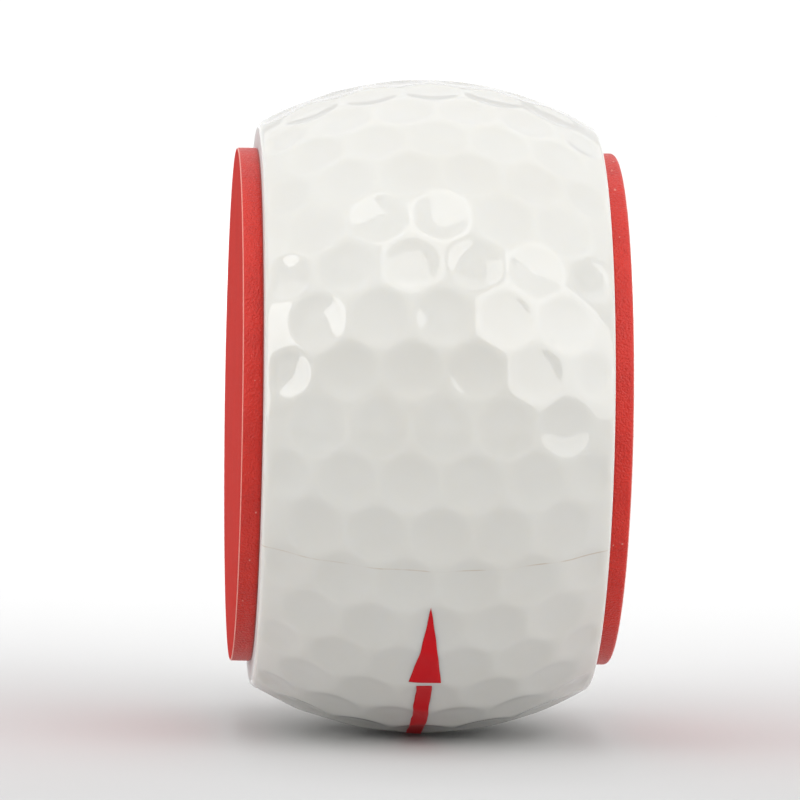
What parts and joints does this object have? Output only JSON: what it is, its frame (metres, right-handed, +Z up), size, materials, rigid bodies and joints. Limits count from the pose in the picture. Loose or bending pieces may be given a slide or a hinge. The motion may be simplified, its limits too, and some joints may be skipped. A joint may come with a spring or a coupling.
{
  "type": "flat-sided putting practice ball",
  "caption": "Dimpled white practice ball with both sides cut flat, a red side plate bonded to each, and a printed aim line.",
  "frame": {"origin": "the ball's centre, midway between the two side plates", "axes": "+Y along the rolling axis, out of the right side plate; +Z up; the ball rolls along X, and +X is the side with the front arrowhead"},
  "size_m": [0.0425, 0.0246, 0.0427],
  "materials": {
    "core_rubber": "matt moulded rubber",
    "cover": "clear-coated white ionomer",
    "side_plate": "satin moulded plastic",
    "adhesive": "cured clear film",
    "ink": "pad-printed ink under the clear coat"
  },
  "bodies": {
    "root": {"core": "core_rubber", "cover": "cover", "left_side_plate": "side_plate", "right_side_plate": "side_plate", "left_adhesive": "adhesive", "right_adhesive": "adhesive", "aim_line": "ink", "front_arrowhead": "ink", "rear_arrowhead": "ink"}
  },
  "joints": []
}
